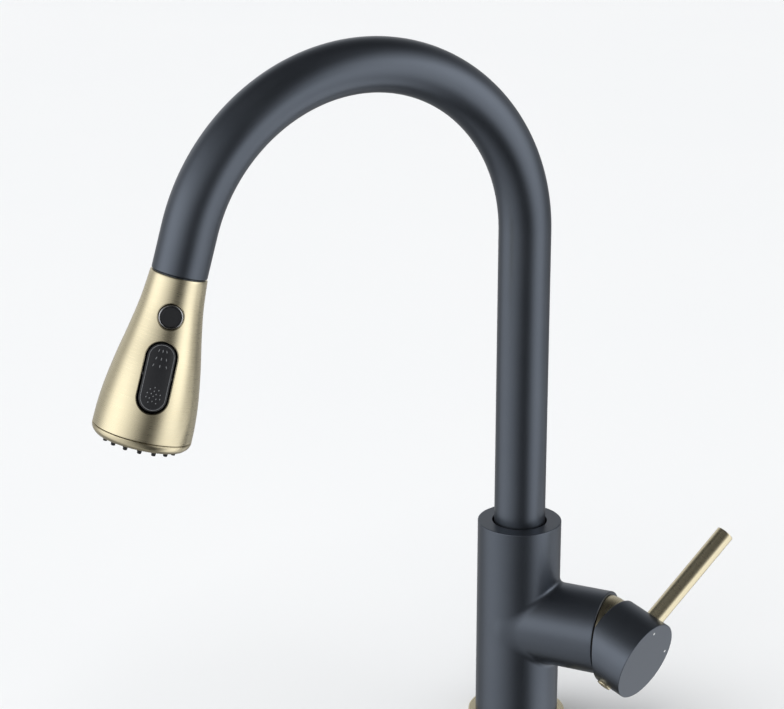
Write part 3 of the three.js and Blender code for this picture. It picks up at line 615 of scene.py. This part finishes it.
def pierced(low, high, rows, centre, half_length, half_width):
    """The front patch between two heights with an oblong opening. Spokes run from the opening's
    middle line to the patch's border; along each, the surface is followed inwards to the opening,
    over its broken edge, through the wall and back out along the inside."""
    heights = np.linspace(low, high, rows)
    angles = np.concatenate([front_angles, np.full(rows - 1, FRONT_HALF), front_angles[-2::-1],
                             np.full(rows - 1, -FRONT_HALF)])
    border_z = np.concatenate([np.full(len(front_angles), low), heights[1:],
                               np.full(len(front_angles) - 1, high), heights[-2::-1]])
    straight = half_length - half_width
    middle = np.stack([0 * border_z, np.clip(border_z, centre - straight, centre + straight)], -1)
    outer = np.stack([cone_radius(border_z) * np.sin(angles), border_z], -1)
    inner = np.stack([(cone_radius(border_z) - SHELL_WALL) * np.sin(angles), border_z], -1)
    reach = np.linalg.norm(outer - middle, axis=-1, keepdims=True)
    way = (outer - middle) / reach
    spread = np.linspace(1, 0, 16)[:, None, None] ** 1.6
    start = half_width + BROKEN_EDGE
    face = middle + way * (start + (reach - start) * spread)
    face = on_cone(face[..., 0], face[..., 1])
    bend = np.linspace(0, np.pi / 2, 6)[1:, None, None]
    lip = middle + way * (half_width + BROKEN_EDGE * (1 - np.sin(bend)))
    lip = on_cone(lip[..., 0], lip[..., 1])
    lip[..., 0] -= (BROKEN_EDGE * (1 - np.cos(bend)))[..., 0]
    edge = middle + way * half_width
    back = np.linspace(0, 1, 8)[:, None, None]
    inside = edge + (inner - edge) * back
    return np.concatenate([face, lip, on_cone(inside[..., 0], inside[..., 1], SHELL_WALL)])


BUTTON_HEIGHT = 18.8
ROCKER_HEIGHT = 48.6
PANELS = [(8.4, 28.2, 25, BUTTON_HEIGHT, 6.2, 6.2), (28.2, 69.6, 49, ROCKER_HEIGHT, 17.5, 7.8)]
shell_top, shell_bottom = 0.5, HEAD_LENGTH - 0.3
above = np.linspace(shell_top, PANELS[0][0], 9)
below = np.linspace(PANELS[1][1], shell_bottom, 12)
beside = [np.linspace(low, high, rows) for low, high, rows, *_ in PANELS]
rear_heights = np.concatenate([above, beside[0][1:], beside[1][1:], below[1:]])
inside_above = np.linspace(2.5, PANELS[0][0], 4)
inside_heights = np.concatenate([inside_above, beside[0][1:], beside[1][1:], below[1:]])
top_radius, bottom_radius = float(cone_radius(shell_top)), float(cone_radius(shell_bottom))
shell_cap = np.array([
    (top_radius, shell_top), (14.28, 0.3), (14.2, 0.12), (14.05, 0.02), (13.9, 0), (10.2, 0), (10.2, 2.5),
    (float(cone_radius(2.5)) - SHELL_WALL, 2.5),
])
shell_foot = np.array([
    (bottom_radius, shell_bottom), (25.02, 80.42), (24.92, HEAD_LENGTH),
    (bottom_radius - SHELL_WALL, HEAD_LENGTH), (bottom_radius - SHELL_WALL, shell_bottom),
])
shell_sheets = [
    turned(shell_cap, all_angles), turned(shell_foot, all_angles),
    cone_grid(rear_heights, rear_angles), cone_grid(inside_heights, rear_angles, SHELL_WALL),
    cone_grid(above, front_angles), cone_grid(inside_above, front_angles, SHELL_WALL),
    cone_grid(below, front_angles), cone_grid(below, front_angles, SHELL_WALL),
    *[pierced(*panel) for panel in PANELS],
]
shell_skin = woven("shell_brushed", shell_sheets, HEAD_AXES)
wears(shell_skin, gold, "spray_head", "brushed_gold", "head_shell")


# ---------------------------------------------------------------- nozzle ring
# Turned ring that closes the shell's foot round the spray face: a narrow band, then a soft curve in
# to the nozzles, brushed and plated with the shell.

nozzle_profile = rounded([
    (22.9, 81.2), (22.9, 80.8), (25.05, 80.8), (25.05, 81.6), (24.4, 83.6), (22.4, 85.4), (20.4, 85.4),
    (20.4, 82.5), (22.9, 81.6), (22.9, 81.2),
], [0, 0.15, 0.25, 0.5, 1.0, 0.4, 0.3, 0.3, 0.2, 0])
nozzle_trim = woven("nozzle_trim", [turned(nozzle_profile, full_turn(160))], HEAD_AXES)
wears(nozzle_trim, gold, "spray_head", "brushed_gold", "nozzle_ring")


# ---------------------------------------------------------------- nozzle mat
# Soft black rubber mat behind the spray face with three rows of nubs that can be rubbed clean.


def moulded(name, dark, light, roughness, scale=1500, relief=0.2):
    """Moulded rubber, plastic or ceramic: a fine even grain in the bump and slow drift in tone."""
    material, tree = finish_tree(name)
    place = tree.node("TexCoord", output="Object")
    grain = noise(tree, place, scale, 3)
    drift = noise(tree, place, 60, 2)
    closed(tree, {
        "Base Color": mixed(tree, drift, dark, light),
        "Roughness": grain * 0.12 + drift * 0.06 + (roughness - 0.09),
        "Normal": bumped(tree, grain, relief, 0.00008),
    })
    return material


black_rubber = moulded("black_rubber", (0.011, 0.011, 0.012), (0.018, 0.018, 0.02), 0.62, 900, 0.35)
mat_profile = rounded([(6.9, 83.6), (6.9, 84.5), (20.1, 84.5), (20.1, 83), (6.9, 83), (6.9, 83.6)], 0.25, 3)
nub_profile = rounded([(1.35, 84.3), (1.05, 87.8), (0, 87.8)], 0.4, 5)
nub_profile = np.concatenate([[(0, 84.3)], nub_profile])
NUB_ROWS = [(18.4, 16), (14.2, 12), (10.1, 8)]
nub = turned(nub_profile, full_turn(14))
nub_places = [
    np.array([radius * math.cos(2 * math.pi * i / count), radius * math.sin(2 * math.pi * i / count), 0])
    for radius, count in NUB_ROWS for i in range(count)
]
mat_sheets = [turned(mat_profile, full_turn(96)), *[nub + place for place in nub_places]]
rubber_mat = woven("nozzle_mat_rubber", mat_sheets, HEAD_AXES)
wears(rubber_mat, black_rubber, "spray_head", "rubber", "nozzle_mat")


# ---------------------------------------------------------------- pause button
# Round black push button in a bright bezel, standing square to the head's front.

satin_plastic = moulded("satin_black_plastic", (0.012, 0.0125, 0.0145), (0.020, 0.0205, 0.023),
                        0.42, 1800, 0.18)
BUTTON_AXES = (HEAD_AXES[0] + HEAD_DOWN * BUTTON_HEIGHT,
               np.stack([HEAD_AXES[1][1], HEAD_DOWN, HEAD_FRONT]))
button_profile = rounded([
    (0, 16.85), (4.2, 16.95), (5.2, 16.75), (5.2, 13.6), (0, 13.6),
], [0, 0.6, 0.4, 0.2, 0], 6)
button_cap = woven("pause_button_cap", [turned(button_profile, full_turn(96))], BUTTON_AXES)
wears(button_cap, satin_plastic, "pause_button", "black_plastic", "pause_button")


def bright_steel(name):
    """Bright turned steel: fine rings in the bump and a little unevenness in the polish."""
    material, tree = finish_tree(name)
    place = tree.node("TexCoord", output="Object")
    fine = noise(tree, place, 1700, 3)
    drift = noise(tree, place, 120, 2)
    closed(tree, {
        "Base Color": mixed(tree, drift, (0.62, 0.62, 0.63), (0.74, 0.74, 0.75)),
        "Metallic": 1.0,
        "Roughness": fine * 0.1 + drift * 0.08 + 0.16,
        "Normal": bumped(tree, fine, 0.15, 0.00005),
    })
    return material


steel = bright_steel("bright_steel")
bezel_profile = rounded([(5.45, 15), (5.45, 16.7), (5.9, 16.5), (5.9, 14.3), (5.45, 14.3), (5.45, 15)],
                        [0, 0.15, 0.18, 0.1, 0.1, 0], 4)
bezel = woven("button_bezel_steel", [turned(bezel_profile, full_turn(96))], BUTTON_AXES)
wears(bezel, steel, "spray_head", "steel", "button_bezel")


# ---------------------------------------------------------------- spray selector rocker
# Long black rocker in the slot, crowned like the shell round it, pressed at its upper end. A fine light grey
# line round its face is a painted highlight for its edge's reflection; printed slanted dashes for the spray
# above and dots for the stream below.

ROCKER_HALF = 16.6
ROCKER_WIDTH = 6.9
ROCKER_CROWN = 0.5
ROCKER_PIVOT = 16.2
ROCKER_TILT = math.radians(4)
MIDDLE_HALF = ROCKER_HALF - ROCKER_WIDTH


def rocked(points):
    """Turns rocker points about its pin: the rest tilt, in the plane of x and z."""
    x, z = points[..., 0] - ROCKER_PIVOT, points[..., 2] - ROCKER_HEIGHT
    cosine, sine = math.cos(ROCKER_TILT), math.sin(ROCKER_TILT)
    turned_x = ROCKER_PIVOT + x * cosine + z * sine
    return np.stack([turned_x, points[..., 1], ROCKER_HEIGHT - x * sine + z * cosine], -1)


def oblong_spokes(steps):
    """Start points on an oblong's middle line and unit directions to its edge, once round it."""
    quarter = steps // 4
    arc = np.linspace(-np.pi / 2, np.pi / 2, 2 * quarter + 1)
    side = np.linspace(MIDDLE_HALF, -MIDDLE_HALF, quarter + 1)[1:-1]
    way_z = np.concatenate([np.cos(arc), 0 * side, -np.cos(arc), 0 * side])
    way_y = np.concatenate([np.sin(arc), 0 * side + 1, -np.sin(arc), 0 * side - 1])
    start = np.concatenate([0 * arc + MIDDLE_HALF, side, 0 * arc - MIDDLE_HALF, -side])
    middle, way = np.stack([0 * start, start], -1), np.stack([way_y, way_z], -1)
    return np.concatenate([middle, middle[:1]]), np.concatenate([way, way[:1]])


def rocker_face(distance, sunk):
    """Rings of points round the rocker: each lies at its distance from the middle line on the
    crowned surface, lowered by its own depth."""
    middle, way = oblong_spokes(96)
    flat = middle + way * np.asarray(distance, float)[:, None, None]
    points = on_cone(flat[..., 0], flat[..., 1] + ROCKER_HEIGHT, -ROCKER_CROWN)
    points[..., 0] -= np.asarray(sunk, float)[:, None]
    return points


edge_turn = np.linspace(0, np.pi / 2, 6)
rim_round = 0.55
face_distance = np.concatenate([np.linspace(0, ROCKER_WIDTH - rim_round, 14)[:-1],
                                ROCKER_WIDTH - rim_round * (1 - np.sin(edge_turn))])
face_sunk = np.concatenate([np.zeros(13), rim_round * (1 - np.cos(edge_turn))])
rocker_top = rocker_face(face_distance, face_sunk)
rocker_back = rocker_top[[-1, 0]].copy()
rocker_back[..., 0] = 15.0
rocker_cap = woven("rocker_cap", [rocked(np.concatenate([rocker_top, rocker_back]))], HEAD_AXES)
wears(rocker_cap, satin_plastic, "rocker", "black_plastic", "rocker")

# Light grey: print for the rocker's marks, and painted highlight for the line round its face.
grey_print_and_painted_highlight = moulded("grey_print_and_painted_highlight", (0.16, 0.165, 0.175), (0.24, 0.245, 0.255), 0.5)
# The line round the face: a thin light grey band inset from the edge, a painted highlight standing in for the
# edge's reflection.
line_distance = np.array([5.95, 5.98, 6.17, 6.2, 6.17, 5.98, 5.95])
line_sunk = np.array([0.02, -0.04, -0.04, 0.02, 0.25, 0.25, 0.02])
rocker_painted_highlight_line = woven("rocker_painted_highlight_line", [rocked(rocker_face(line_distance, line_sunk))], HEAD_AXES)
wears(rocker_painted_highlight_line, grey_print_and_painted_highlight, "rocker", "grey_plastic")


def printed_mark(y, z, half_length, half_width, lean):
    """A low oval pad on the rocker: an ellipse turned by its lean, domed by cos(v) above the face."""
    around, rise = full_turn(10)[None], np.linspace(0, np.pi, 7)[:, None]
    across, along = half_width * np.sin(rise) * np.cos(around), half_length * np.sin(rise) * np.sin(around)
    mark_y = y + across * math.cos(lean) + along * math.sin(lean)
    mark_z = z + ROCKER_HEIGHT - across * math.sin(lean) + along * math.cos(lean)
    points = on_cone(mark_y, mark_z, -ROCKER_CROWN)
    points[..., 0] += 0.07 * np.cos(rise)
    return points


DASH_ROWS = [(-12.9, 1.9), (-9.1, 2.5), (-5.6, 3.2)]
DOT_ROWS = [(4.8, [0]), (5.8, [-2.1, 2.1]), (6.6, [0]), (7.9, [-3.2, -1.2, 1.2, 3.2]), (9, [0]),
            (9.9, [-3.4, 3.4]), (10.1, [-1.6, 1.6]), (11.5, [0]), (12.2, [-1.9, 1.9])]
marks = [printed_mark(side * spread, row, 0.72, 0.2, side * 0.32)
         for row, spread in DASH_ROWS for side in (-1, 0, 1)]
marks += [printed_mark(y, row, 0.36, 0.22, 0.35) for row, places in DOT_ROWS for y in places]
rocker_marks = woven("rocker_marks", [rocked(mark) for mark in marks], HEAD_AXES)
wears(rocker_marks, grey_print_and_painted_highlight, "rocker", "grey_plastic")


# ---------------------------------------------------------------- dome ring
# Polished and brushed ball-shaped ring screwed on the branch; it shows as a gold wedge where the
# handle's cap stands open.

PIVOT_X = 49.7
BRANCH_AXES = (np.array([PIVOT_X, 0, BRANCH_HEIGHT]), np.array([(0, 1.0, 0), (0, 0, 1.0), (1.0, 0, 0)]))
DOME_RADIUS = 21.3
DOME_INSIDE = 19.6


def ball_arc(radius, low, high, steps):
    """Profile points on a circle about the pivot between two heights."""
    angle = np.linspace(math.asin(low / radius), math.asin(high / radius), steps)
    return np.stack([radius * np.cos(angle), radius * np.sin(angle)], -1)


dome_profile = np.concatenate([
    [(19.3, -3.6), (20.3, -3.6), (20.3, 2.8)], ball_arc(DOME_RADIUS, 2.8, 11.2, 16),
    [(18.02, 11.35), (17.8, 11.4), (16.2, 11.4), (16.02, 11.3)],
    ball_arc(DOME_INSIDE, 11.2, 3.8, 10), [(19.3, -3.6)],
])
dome = woven("dome_brushed", [turned(dome_profile, full_turn(160))], BRANCH_AXES)
# The dome's gold is the same plating darkened to 0.92: painted shade for the wedge under the open cap.
wears(dome, brushed_gold("dome_gold_brushed", 0.5, 0.92), "body", "brushed_gold", "dome_ring")


# ---------------------------------------------------------------- handle cap
# Cup-shaped brass cap on the cartridge stem, coated satin black. Its rim is cut straight on the
# lever's side and slanting on the other, so that it can tip over the dome; its hub grips the stem.

HANDLE_TURN = math.radians(-44)
HANDLE_OPEN = math.radians(22)
RIM_SLANT = math.radians(24.5)
RIM_OFFSET = 2.9
RIM_ROUNDING = 0.15
OUT = np.array([1.0, 0, 0])
HANDLE_SIDE = np.array([0, -math.sin(HANDLE_TURN), math.cos(HANDLE_TURN)])
CAP_OUT = OUT * math.cos(HANDLE_OPEN) - HANDLE_SIDE * math.sin(HANDLE_OPEN)
LEVER_WAY = HANDLE_SIDE * math.cos(HANDLE_OPEN) + OUT * math.sin(HANDLE_OPEN)
HANDLE_AXES = (BRANCH_AXES[0], np.stack([LEVER_WAY, np.cross(CAP_OUT, LEVER_WAY), CAP_OUT]))
CAP_RADIUS = 23.0
CAP_FACE = 31.0
CAP_RIM = 5.0
CAP_HOLLOW = 22.0
HUB_RADIUS = 7.5


def rim_height(radius, angle):
    """Height of the cut rim: the higher of the straight cut and the slanting plane, rounded where
    they meet by c + (d + sqrt(d^2 + rounding)) / 2, with c the straight cut and d the difference."""
    slanting = (RIM_OFFSET - radius * np.cos(angle) * math.sin(RIM_SLANT)) / math.cos(RIM_SLANT)
    ridge = slanting - CAP_RIM
    return CAP_RIM + 0.5 * (ridge + np.sqrt(ridge**2 + RIM_ROUNDING))


def cap_sheet(angles):
    """Rows down the outside from the face to the rim, over the rim, up the ball-shaped hollow and
    down the hub. The rim's inner edge is found by halving: radius^2 + height^2 = hollow^2."""
    near, far = np.full_like(angles, 10.0), np.full_like(angles, CAP_HOLLOW)
    for _ in range(30):
        guess = (near + far) / 2
        outside = guess**2 + rim_height(guess, angles) ** 2 > CAP_HOLLOW**2
        near, far = np.where(outside, near, guess), np.where(outside, guess, far)
    face = rounded([(0, CAP_FACE), (CAP_RADIUS, CAP_FACE), (CAP_RADIUS, CAP_FACE - 1.2)], 0.4, 6)
    face_rows = turned(face, angles)
    wall_z = rim_height(CAP_RADIUS, angles)
    down = np.linspace(0, 1, 30)[1:, None] ** 0.8
    wall_r = np.full_like(down, CAP_RADIUS) + 0 * angles
    wall_h = CAP_FACE - 1.2 + (wall_z + 0.35 - CAP_FACE + 1.2) * down
    inset = np.array([0.04, 0.14, 0.3, 0.5])[:, None]
    lip_r = CAP_RADIUS - inset
    lip_h = rim_height(lip_r, angles) + np.array([0.2, 0.07, 0.015, 0])[:, None]
    across = np.linspace(0, 1, 5)[1:, None]
    flat_r = (CAP_RADIUS - 0.5) + (near - CAP_RADIUS + 0.5) * across
    flat_h = rim_height(flat_r, angles)
    begin = np.arcsin(np.clip(flat_h[-1] / CAP_HOLLOW, -1, 1))
    stop = math.acos(HUB_RADIUS / CAP_HOLLOW)
    lift = begin + (stop - begin) * np.linspace(0, 1, 14)[1:, None]
    ball_r, ball_h = CAP_HOLLOW * np.cos(lift), CAP_HOLLOW * np.sin(lift)
    hub = turned([(HUB_RADIUS, 14), (HUB_RADIUS, 9.8), (HUB_RADIUS - 0.3, 9.5), (0, 9.5)], angles)
    radius = np.concatenate([wall_r, lip_r + 0 * angles, flat_r, ball_r])
    tall = np.concatenate([wall_h, lip_h, flat_h, ball_h])
    rows = np.stack([radius * np.cos(angles), radius * np.sin(angles), tall], -1)
    return np.concatenate([face_rows, rows, hub])


cap_coat = woven("cap_coat", [cap_sheet(full_turn(224))], HANDLE_AXES)
wears(cap_coat, black_coat, "handle", "black_coat", "handle_cap")


# ---------------------------------------------------------------- hot and cold marks
# Two small domes of white enamel baked into the cap's face, one each side of the lever.

MARK_CIRCLE = 18.5
MARK_ANGLE = math.radians(46)
enamel = moulded("white_enamel", (0.84, 0.84, 0.83), (0.93, 0.93, 0.92), 0.35, 900, 0.06)
mark_profile = rounded([(0, 30.6), (0.78, 30.6), (0.78, 31.02), (0, 31.08)], [0, 0.05, 0.12, 0], 4)
mark_dome = turned(mark_profile, full_turn(28))
mark_domes = [mark_dome + (MARK_CIRCLE * math.cos(angle), MARK_CIRCLE * math.sin(angle), 0)
              for angle in (-MARK_ANGLE, MARK_ANGLE)]
enamel_marks = woven("enamel_marks", mark_domes, HANDLE_AXES)
wears(enamel_marks, enamel, "handle", "enamel", "mark_hot", "mark_cold")


# ---------------------------------------------------------------- lever and its plug
# Plain round brass lever screwed into the cap's side, leaning a little outwards, brushed and plated
# gold, and the small gold plug that covers the grub screw on the opposite side.

LEVER_LEAN = math.radians(2.9)
LEVER_POSITION = 19
PLUG_POSITION = 20
LEANING = LEVER_WAY * math.cos(LEVER_LEAN) + CAP_OUT * math.sin(LEVER_LEAN)
LEVER_AXES = (HANDLE_AXES[0] + CAP_OUT * LEVER_POSITION,
              np.stack([HANDLE_AXES[1][1], np.cross(LEANING, HANDLE_AXES[1][1]), LEANING]))
PLUG_AXES = (HANDLE_AXES[0] + CAP_OUT * PLUG_POSITION,
             np.stack([HANDLE_AXES[1][1], -CAP_OUT, -LEVER_WAY]))
lever_profile = rounded([
    (0, 13), (2.6, 13), (2.6, 21.4), (5, 21.4), (5, 84.5), (0, 84.5),
], [0, 0.3, 0.2, 0.2, 0.55, 0], 6)
lever = woven("lever_brushed", [turned(lever_profile, full_turn(96))], LEVER_AXES)
wears(lever, brushed_gold("lever_gold_brushed", 0.1), "handle", "brushed_gold", "lever_rod")
plug_profile = rounded([
    (0, 21.8), (4, 21.8), (4, 24.1), (2.1, 24.4), (1.7, 24.2), (0, 24.2),
], [0, 0.3, 0.4, 0.12, 0.15, 0], 5)
plug = woven("plug_brushed", [turned(plug_profile, full_turn(64))], PLUG_AXES)
wears(plug, gold, "handle", "brushed_gold", "cap_plug")


# ---------------------------------------------------------------- hose behind the ferrule
# The stretch of hose just behind the ferrule stays hidden in the spout's tip while the head is docked.
# Its braid pattern is laid along the whole pull length; nothing here draws it out with the head.

PULL_LENGTH = 450.0
STRETCH_START, STRETCH_END = -30.0, -15.0
STRETCH_RINGS = 160
STRETCH_RADIUS = HOSE_RADIUS - 0.15
fraction = np.linspace(0, 1, STRETCH_RINGS)
eased = fraction**2 * (3 - 2 * fraction)
stretch_heights = STRETCH_START + (STRETCH_END - STRETCH_START) * fraction
stretch_profile = np.concatenate([
    [(0, STRETCH_START)],
    np.stack([np.full(STRETCH_RINGS, STRETCH_RADIUS), stretch_heights], -1),
    [(0, STRETCH_END)],
])
stretch_along = np.concatenate([[0], eased * PULL_LENGTH, [PULL_LENGTH]])
stretch_grain = np.stack(np.broadcast_arrays(
    np.cos(hose_angles)[None], np.sin(hose_angles)[None], stretch_along[:, None]), -1).reshape(-1, 3)
stretch = woven("hose_drawn_out", [turned(stretch_profile, hose_angles)], HEAD_AXES, grain=stretch_grain)
stretch.data.materials.append(nylon_braid)
tuple((HEAD_AXES[0] + HEAD_DOWN * STRETCH_START) * MM)
tuple((HEAD_AXES[0] + HEAD_DOWN * STRETCH_END) * MM)
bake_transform(stretch)


# ---------------------------------------------------------------- inner and under-counter pieces
# Pieces whose solids are already right: pipes, clamp, cartridge, seals, screws and the head's core.
# Each takes the finish of its own material slot.


def turned_brass(name):
    """Bare machined brass: lathe lines in the bump, tarnish drifting through colour and polish."""
    material, tree = finish_tree(name)
    place = tree.node("TexCoord", output="Object")
    stretched = tree.node("VectorMath", {"operation": "MULTIPLY"}, {0: place, 1: (300, 300, 3200)})
    lines = noise(tree, stretched, 1.0, 3)
    tarnish = noise(tree, place, 70, 4)
    closed(tree, {
        "Base Color": mixed(tree, tarnish, (0.42, 0.27, 0.10), (0.70, 0.50, 0.24)),
        "Metallic": 1.0,
        "Roughness": lines * 0.15 + tarnish * 0.15 + 0.18,
        "Normal": bumped(tree, lines, 0.3, 0.00006),
    })
    return material


slot_finishes = {
    "raw_brass": turned_brass("turned_brass"),
    "steel": steel,
    "rubber": black_rubber,
    "black_plastic": satin_plastic,
    "grey_plastic": moulded("grey_plastic", (0.24, 0.25, 0.27), (0.31, 0.32, 0.34), 0.5),
    "ceramic": moulded("lapped_ceramic", (0.78, 0.76, 0.72), (0.86, 0.84, 0.8), 0.3, 700, 0.08),
    "enamel": enamel,
    "black_coat": black_coat,
    "brushed_gold": gold,
    "hose_braid": nylon_braid,
}
for subpart in frame["record"]["subparts"]:
    solid = frame["nodes"][subpart["node"]]
    if not solid.hide_render:
        solid.data.materials.clear()
        solid.data.materials.append(slot_finishes[subpart["material_slot"]])
